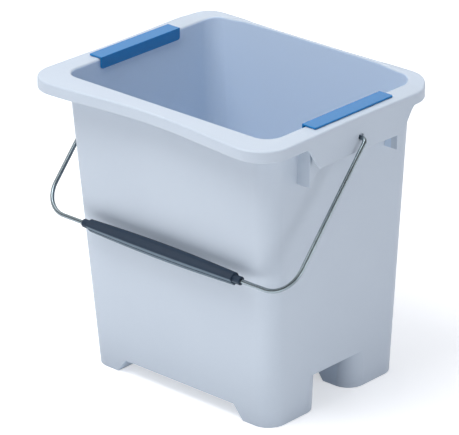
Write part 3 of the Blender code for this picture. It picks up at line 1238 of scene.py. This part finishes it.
    def ear_hole(self, side: Side) -> Piece:
        """Build the hole for the wire in one ear, with rounded rims.

        Args:
            side: The short side that the ear is on.

        Returns:
            The hole as a solid.
        """
        radius = self.hole_diameter / 2
        lip = self.hole_lip
        inner = self.ear_face - self.skirt_thickness
        profile = [(inner - self.hole_overrun, radius + lip), (inner, radius + lip)]
        for angle in self.hole_lip_angles:
            sine = math.sin(angle)
            profile.append((inner + lip * sine, radius + lip * (1 - sine)))
        mirror = 2 * self.ear_face - self.skirt_thickness
        profile += [(mirror - x, r) for x, r in reversed(profile)]
        centre = (self.ear_y, self.pivot_z + self.hole_rise)
        rings = []
        for x, r in profile:
            circle = arc(centre, r, full_turn(self.hole_steps))
            rings.append([(side.value * x, y, z) for y, z in circle])
        return solid_from_rings("ear_hole", rings)

    def build(self) -> Piece:
        """Build the bucket.

        Returns:
            The finished mesh, still without its finish.
        """
        body = self.shell()
        self.flatten_foot_band(body)
        combine(body, self.risers(), Cut.JOIN)
        body.data.materials.clear()
        body.data.materials.append(bpy.data.materials.new("body_faces"))
        cut_faces = bpy.data.materials.new("cut_faces")
        cutters = [self.channel(0.0)] + [self.recess(side, 0.0) for side in Side]
        for cutter in cutters:
            cutter.data.materials.append(cut_faces)
            combine(body, cutter, Cut.REMOVE)
        ceiling = self.recess_height + 2 * self.foot_edge

        def at_feet(edge: bmesh.types.BMEdge) -> bool:
            """Tell whether an edge borders a cut or the floor."""
            cut = any(face.material_index == 1 for face in edge.link_faces)
            return middle(edge).z < ON_FLOOR or (cut and middle(edge).z < ceiling)

        round_edges(body, self.foot_edge, at_feet)
        for side in Side:
            for end in (-1, 1):
                combine(body, self.rib(side, self.ear_y + end * self.rib_pitch / 2), Cut.JOIN)
            combine(body, self.ear_hole(side), Cut.REMOVE)
        return body

    def dress(self) -> None:
        """Build the bucket, give it its finish and set it in place."""
        body = self.build()
        set_in_place(body, "bucket_body", "bucket", self.finish.material())


@dataclass
class Bail:
    """The bent wire whose ends pass through the ears and turn down behind them."""

    bucket: BucketBody
    wire_diameter: float = 0.0045
    rest_drop: float = 0.1326
    arm_gap: float = 0.0026
    bend_radius: float = 0.030
    hook_radius: float = 0.005
    hook_gap: float = 0.0015
    hook_tail: float = 0.006
    end_chamfer: float = 0.0006
    wall_distance: float = 0.0124914
    sides: int = 28
    hook_steps: int = 14
    bend_steps: int = 28
    finish: DrawnSteel = WIRE_STEEL

    def __post_init__(self) -> None:
        """Work out where the bail rests."""
        bucket = self.bucket
        z = bucket.pivot_z - self.rest_drop
        lean = math.hypot(1, bucket.front_draft / bucket.rim_height)
        forward = bucket.ear_y - (bucket.walls(z).front - self.wall_distance * lean)
        self.reach = math.hypot(forward, self.rest_drop)
        self.rest_angle = math.atan2(forward, self.rest_drop)

    def place(self) -> Matrix:
        """Return the move from the hanging bail about its pivot line to its rest."""
        pivot = Vector((0, self.bucket.ear_y, self.bucket.pivot_z))
        return Matrix.Translation(pivot) @ Matrix.Rotation(-self.rest_angle, 4, "X")

    def path(self) -> list[Vector]:
        """Lay out the middle line of the whole wire, arms hanging down.

        Returns:
            Its points, from the right hook to the left one.
        """
        bucket = self.bucket
        hook = bucket.ear_face - bucket.skirt_thickness - self.hook_gap
        arm = bucket.rim_length / 2 + self.arm_gap + self.wire_diameter / 2
        small, large = self.hook_radius, self.bend_radius
        flat = [(hook - small, -small - self.hook_tail)]
        flat += arc((hook, -small), small, sweep(math.pi, QUARTER, self.hook_steps))
        flat += arc((arm - small, -small), small, sweep(QUARTER, 0.0, self.hook_steps))
        flat += arc((arm - large, large - self.reach), large, sweep(0.0, -QUARTER, self.bend_steps))
        right = [Vector((x, 0, z)) for x, z in flat]
        return right + [Vector((-v.x, 0, v.z)) for v in reversed(right)]

    def stops(self) -> list[tuple[Vector, Vector, float]]:
        """Find the places along the wire that carry a section.

        Returns:
            The middle, the heading and the radius at each place; both ends are chamfered.
        """
        line = self.path()
        radius, chamfer = self.wire_diameter / 2, self.end_chamfer
        first = (line[1] - line[0]).normalized()
        last = (line[-1] - line[-2]).normalized()
        stops = [(line[0], first, radius - chamfer), (line[0] + first * chamfer, first, radius)]
        for before, here, after in zip(line, line[1:], line[2:]):
            stops.append((here, (after - before).normalized(), radius))
        stops += [(line[-1] - last * chamfer, last, radius), (line[-1], last, radius - chamfer)]
        return stops

    def build(self) -> Piece:
        """Sweep the wire along its path.

        Returns:
            The wire with coordinates round and along it.
        """
        across = Vector((0, 1, 0))
        stops = self.stops()
        rings, lengths, run = [], [], 0.0
        before = stops[0][0]
        for here, heading, size in stops:
            run += (here - before).length
            before = here
            lengths.append(run)
            sideways = across.cross(heading).normalized()
            angles = full_turn(self.sides)
            rings.append(
                [here + size * (math.cos(a) * across + math.sin(a) * sideways) for a in angles]
            )
        shape = bmesh.new()
        uv = shape.loops.layers.uv.new(WIRE_UV)
        width = math.pi * self.wire_diameter / self.sides
        for row, band in enumerate(skin(shape, rings)):
            for step, face in enumerate(band):
                ends = ((step, row), (step + 1, row), (step + 1, row + 1), (step, row + 1))
                for loop, (turn, stop) in zip(face.loops, ends):
                    loop[uv].uv = (turn * width, lengths[stop])
        bmesh.ops.recalc_face_normals(shape, faces=shape.faces)
        shape.transform(self.place())
        return into_scene("bail_wire_bent", shape)

    def dress(self) -> None:
        """Build the wire, give it its finish and set it in place."""
        set_in_place(self.build(), "bail_wire", "bail", self.finish.material())


@dataclass
class Grip:
    """The handle with a flat, slotted underside that is pushed onto the wire."""

    bail: Bail
    length: float = 0.216
    shift: float = -0.001
    crown: float = 0.0085
    flat: float = 0.0068
    width: float = 0.0165
    end_share: float = 0.76
    neck_length: float = 0.009
    neck_diameter: float = 0.0088
    edge: float = 0.0006
    slot_width: float = 0.0014
    slot_edge: float = 0.0003
    clearance: float = 0.0004
    rest_turn: float = math.radians(12)
    # How square the underside's corners are: 1 is round, 0 is square
    corner_power: float = 0.36
    sides: int = 72
    edge_steps: int = 5
    half_steps: int = 24
    bore_steps: int = 32
    slot_edge_steps: int = 2
    finish: MouldedColour = GRIP_PLASTIC

    def section(self, x: float, share: float, grow: float) -> Ring:
        """Draw a section: an arched crown over a flat underside with round corners.

        Args:
            x: The place along the grip.
            share: The section's size against the middle one.
            grow: How far its outline is moved outwards.

        Returns:
            The outline.
        """
        ring = []
        for angle in full_turn(self.sides):
            across, up = math.cos(angle), math.sin(angle)
            if up >= 0:
                up *= self.crown * share + grow
            else:
                across = math.copysign(abs(across) ** self.corner_power, across)
                up = -(self.flat * share + grow) * abs(up) ** self.corner_power
            ring.append((x, (self.width / 2 * share + grow) * across, up))
        return ring

    def neck(self, x: float, grow: float) -> Ring:
        """Return a round section across a neck."""
        circle = arc((0, 0), self.neck_diameter / 2 + grow, full_turn(self.sides))
        return [(x, y, z) for y, z in circle]

    def rings(self) -> list[Ring]:
        """Draw the sections along the grip: neck, shoulder, swelling handle, shoulder, neck.

        Returns:
            The sections, from right to left.
        """
        half = self.length / 2
        shoulder = half - self.neck_length
        edge = self.edge
        rounding = [
            (edge * (1 - math.cos(angle)), edge * (math.sin(angle) - 1))
            for angle in sweep(0.0, QUARTER, self.edge_steps)
        ]
        rings = [self.neck(half - back, grow) for back, grow in rounding]
        rings.append(self.neck(shoulder, 0.0))
        rings += [self.section(shoulder - back, self.end_share, grow) for back, grow in rounding]
        for along in sweep(0.0, 1.0, self.half_steps)[1:]:
            share = self.end_share + (1 - self.end_share) * math.sin(QUARTER * along)
            rings.append(self.section((shoulder - edge) * (1 - along), share, 0.0))
        mirrored = [[(-x, y, z) for x, y, z in ring] for ring in reversed(rings[:-1])]
        return rings + mirrored

    def slot(self) -> Piece:
        """Build the round bore with its slot along the underside.

        Returns:
            The bore and the slot as one solid.
        """
        radius = self.bail.wire_diameter / 2 + self.clearance
        half = self.slot_width / 2
        gap = math.asin(half / radius)
        below = -self.flat - CUT_MARGIN
        bore_angles = sweep(gap - QUARTER, 3 * QUARTER - gap, self.bore_steps)
        outline = arc((0, 0), radius, bore_angles) + [(-half, below), (half, below)]
        start = -self.length / 2 - CUT_MARGIN
        return prism("slot", [(start, y, z) for y, z in outline], (-2 * start, 0, 0))

    def build(self) -> Piece:
        """Build the grip at its rest on the wire.

        Returns:
            The finished mesh, still without its finish.
        """
        grip = solid_from_rings("bail_grip_slotted", self.rings())
        grip.data.materials.append(bpy.data.materials.new("skin_faces"))
        slot = self.slot()
        slot.data.materials.append(bpy.data.materials.new("slot_faces"))
        combine(grip, slot, Cut.REMOVE)

        def at_lip(edge: bmesh.types.BMEdge) -> bool:
            """Tell whether an edge lies between the skin and the slot."""
            return len({face.material_index for face in edge.link_faces}) == 2

        round_edges(grip, self.slot_edge, at_lip, self.slot_edge_steps)
        onto_wire = Matrix.Translation((self.shift, 0, -self.bail.reach))
        turned = Matrix.Rotation(-self.rest_turn, 4, "X")
        grip.data.transform(self.bail.place() @ onto_wire @ turned)
        return grip

    def dress(self) -> None:
        """Build the grip, give it its finish and set it in place."""
        set_in_place(self.build(), "bail_grip", "grip", self.finish.material())


@dataclass
class RimClip:
    """A plastic angle strip hung over the inner edge of a short rim."""

    bucket: BucketBody
    side: Side
    length: float = 0.118
    thickness: float = 0.002
    top_width: float = 0.0175
    leg_height: float = 0.013
    seat_gap: float = 0.0003
    leg_corner: float = 0.003
    leg_corner_steps: int = 6
    top_corner: float = 0.0015
    top_corner_steps: int = 5
    edge: float = 0.00045

    def build(self) -> Piece:
        """Build the angle strip.

        Returns:
            The finished mesh, still without its finish.
        """
        bucket = self.bucket
        top = bucket.rim_height + self.seat_gap + self.thickness
        bottom = top - self.leg_height
        leg = bucket.walls(bottom).half_length - bucket.wall - self.seat_gap
        inner = leg - self.thickness
        outer = inner + self.top_width
        seat = top - self.thickness
        outline = [
            (inner, bottom),
            (leg, bottom),
            (leg, seat),
            (outer, seat),
            (outer, top),
            (inner, top),
        ]
        start = bucket.ear_y - self.length / 2
        face = [(self.side.value * x, start, z) for x, z in outline]
        clip = prism(f"rim_clip_{self.side.name.lower()}", face, (0, self.length, 0))

        def at_leg_corner(edge: bmesh.types.BMEdge) -> bool:
            """Tell whether an edge is a lower corner of the leg.

            Args:
                edge: The edge.

            Returns:
                Whether it runs across the leg at its bottom.
            """
            run = edge.verts[1].co - edge.verts[0].co
            across = abs(run.x) > NO_RUN and abs(run.y) < SAME_POINT
            return across and abs(middle(edge).z - bottom) < SAME_POINT

        def at_top_corner(edge: bmesh.types.BMEdge) -> bool:
            """Tell whether an edge is an outer corner of the top."""
            run = edge.verts[1].co - edge.verts[0].co
            return abs(run.z) > NO_RUN and abs(abs(middle(edge).x) - outer) < SAME_POINT

        round_edges(clip, self.leg_corner, at_leg_corner, self.leg_corner_steps)
        round_edges(clip, self.top_corner, at_top_corner, self.top_corner_steps)
        round_edges(clip, self.edge)
        return clip

    def dress(self, material: bpy.types.Material) -> None:
        """Build the clip, give it the finish that both clips share and set it in place."""
        node = f"clip_{self.side.name.lower()}"
        set_in_place(self.build(), node, node, material)


def look(watcher: Piece, direction: Vector) -> None:
    """Turn a light or the camera to look along a direction."""
    watcher.rotation_euler = direction.to_track_quat("-Z", "Y").to_euler()


@dataclass
class Softbox:
    """One studio light that looks at the bucket: square, or as high as told."""

    name: str
    place: Point
    size: float
    power: float
    aim: Point = (0.0, 0.0, 0.17)
    height: float | None = None

    def build(self) -> None:
        """Hang the light."""
        lamp = bpy.data.lights.new(self.name, "AREA")
        lamp.shape = "RECTANGLE"
        lamp.size = self.size
        lamp.size_y = self.height or self.size
        lamp.energy = self.power
        light = bpy.data.objects.new(self.name, lamp)
        light.location = self.place
        look(light, Vector(self.aim) - Vector(self.place))
        light.visible_camera = False
        bpy.context.scene.collection.objects.link(light)


@dataclass
class Studio:
    """White sweep, soft light and the photograph's camera."""

    azimuth: float = math.radians(42.0)
    elevation: float = math.radians(23.5)
    distance: float = 3.637
    target: Point = (0.0, 0.0005, 0.1625)
    lens: float = 278.7
    sensor: float = 36.0
    # The photograph's width and how far its middle lies from the target, in pixels
    frame_width: float = 459.0
    target_right: float = 1.8
    target_down: float = 9.8
    sky: float = 0.40
    sky_colour: str = "EAF0FF"
    # How bright glossy surfaces mirror the room on the camera's side of the white sweep
    room: float = 0.2
    # Where the room ends and the sweep begins, from -1 in front of the bucket to 1 behind it
    sweep_edge: Flat = (-0.3, 0.4)
    floor_colour: str = "EDEDED"
    floor_roughness: float = 0.9
    floor_specular: float = 0.1
    floor_reach: float = 6.0
    floor_cells: int = 4
    # A hair below the feet, so that no two faces share a place
    floor_drop: float = 0.0003
    # How far the floor is lifted to white at the bucket, and the distances over which it gets there
    floor_lift: float = 0.50
    floor_fade: Flat = (0.6, 2.5)
    softboxes: tuple[Softbox, ...] = (
        Softbox("overhead_softbox", (-0.5, -0.3, 2.4), 1.8, 15.0),
        Softbox("mouth_softbox", (-0.15, -0.65, 1.65), 0.9, 12.0),
        Softbox("front_softbox", (-0.2, -1.7, 2.4), 1.2, 8.0),
        # Low enough to leave the inside of the left wall in the shade
        Softbox("right_softbox", (2.2, -0.1, 0.20), 1.5, 9.2, height=0.38),
        Softbox("floor_panel", (-0.15, -0.62, 0.002), 0.9, 1.5, aim=(-0.15, -0.62, 1.0)),
    )

    def camera(self) -> None:
        """Set the camera where the photograph was taken."""
        flat = math.cos(self.elevation)
        back = Vector((
            math.sin(self.azimuth) * flat,
            -math.cos(self.azimuth) * flat,
            math.sin(self.elevation),
        ))
        data = bpy.data.cameras.new("photo_camera")
        data.sensor_fit = "HORIZONTAL"
        data.sensor_width = self.sensor
        data.lens = self.lens
        data.shift_x = -self.target_right / self.frame_width
        data.shift_y = self.target_down / self.frame_width
        camera = bpy.data.objects.new("photo_camera", data)
        camera.location = Vector(self.target) + back * self.distance
        look(camera, -back)
        bpy.context.scene.collection.objects.link(camera)
        bpy.context.scene.camera = camera

    def seen(self, tree: Tree) -> Socket:
        """Tell rays that look at the background from rays that light.

        Args:
            tree: The nodes of the world or of the floor.

        Returns:
            What is 1 for rays that look and 0 for rays that light.
        """
        path = add_node(tree, "ShaderNodeLightPath")
        total = path.outputs["Is Camera Ray"]
        for name in ("Is Glossy Ray", "Is Transmission Ray"):
            step = add_node(
                tree,
                "ShaderNodeMath",
                {"operation": "MAXIMUM"},
                {0: total, 1: path.outputs[name]},
            )
            total = step.outputs["Value"]
        return total

    def mirrored(self, tree: Tree) -> Socket:
        """Tell how bright glossy surfaces see the surroundings.

        Args:
            tree: The world's nodes.

        Returns:
            The brightness: white at the sweep, darker at the room in front of it.
        """
        place = add_node(tree, "ShaderNodeTexCoord")
        away = (-math.sin(self.azimuth), math.cos(self.azimuth), 0.0)
        behind = add_node(
            tree,
            "ShaderNodeVectorMath",
            {"operation": "DOT_PRODUCT"},
            {0: place.outputs["Generated"], 1: away},
        )
        bright = add_node(
            tree,
            "ShaderNodeMapRange",
            {"interpolation_type": "SMOOTHSTEP"},
            {
                "Value": behind.outputs["Value"],
                "From Min": self.sweep_edge[0],
                "From Max": self.sweep_edge[1],
                "To Min": self.room,
                "To Max": 1.0,
            },
        )
        return bright.outputs["Result"]

    def world(self) -> None:
        """Surround the bucket with a white sweep to look at and even light of a plain level."""
        world = bpy.data.worlds.new("white_studio")
        world.use_nodes = True
        tree = world.node_tree
        light = tree.nodes["Background"]
        seen = self.seen(tree)
        tint = lay_colours(tree, self.sky_colour, [(seen, WHITE)])
        glossy = add_node(tree, "ShaderNodeLightPath").outputs["Is Glossy Ray"]
        looked_at = add_node(
            tree,
            "ShaderNodeMix",
            inputs={0: glossy, 2: 1.0, 3: self.mirrored(tree)},
        )
        strength = add_node(
            tree,
            "ShaderNodeMix",
            inputs={0: seen, 2: self.sky, 3: looked_at.outputs[0]},
        )
        tree.links.new(tint, light.inputs["Color"])
        tree.links.new(strength.outputs[0], light.inputs["Strength"])
        bpy.context.scene.world = world

    def floor(self) -> None:
        """Lay a pale paper floor that looks white and keeps the bucket's shadow."""
        shape = bmesh.new()
        cells = self.floor_cells
        bmesh.ops.create_grid(shape, x_segments=cells, y_segments=cells, size=self.floor_reach)
        floor = into_scene("paper_floor", shape)
        floor.location.z = -self.floor_drop
        finish = Finish("matt_white_paper", self.floor_colour, self.floor_roughness)
        tree, shader, material = finish.start()
        shader.inputs["Specular IOR Level"].default_value = self.floor_specular
        place = add_node(tree, "ShaderNodeTexCoord")
        distance = add_node(
            tree,
            "ShaderNodeVectorMath",
            {"operation": "LENGTH"},
            {0: place.outputs["Object"]},
        )
        fade = add_node(
            tree,
            "ShaderNodeMapRange",
            {"interpolation_type": "SMOOTHSTEP"},
            {
                "Value": distance.outputs["Value"],
                "From Min": self.floor_fade[0],
                "From Max": self.floor_fade[1],
                "To Min": self.floor_lift,
                "To Max": 1.0,
            },
        )
        lift = add_node(
            tree,
            "ShaderNodeMath",
            {"operation": "MULTIPLY"},
            {0: self.seen(tree), 1: fade.outputs["Result"]},
        )
        shader.inputs["Emission Color"].default_value = linear(WHITE)
        tree.links.new(lift.outputs["Value"], shader.inputs["Emission Strength"])
        floor.data.materials.append(material)

    def build(self) -> None:
        """Set up floor, light and camera."""
        self.camera()
        self.world()
        self.floor()
        for softbox in self.softboxes:
            softbox.build()
        bpy.context.scene.view_settings.view_transform = "Standard"


def main() -> None:
    """Build every piece in order and set up the studio."""
    logging.basicConfig(level=logging.INFO, format="%(name)s %(message)s")
    Studio().build()
    bucket = BucketBody()
    bucket.dress()
    bail = Bail(bucket)
    bail.dress()
    Grip(bail).dress()
    clip_material = CLIP_PLASTIC.material()
    for side in Side:
        RimClip(bucket, side).dress(clip_material)


if __name__ == "__main__":
    main()
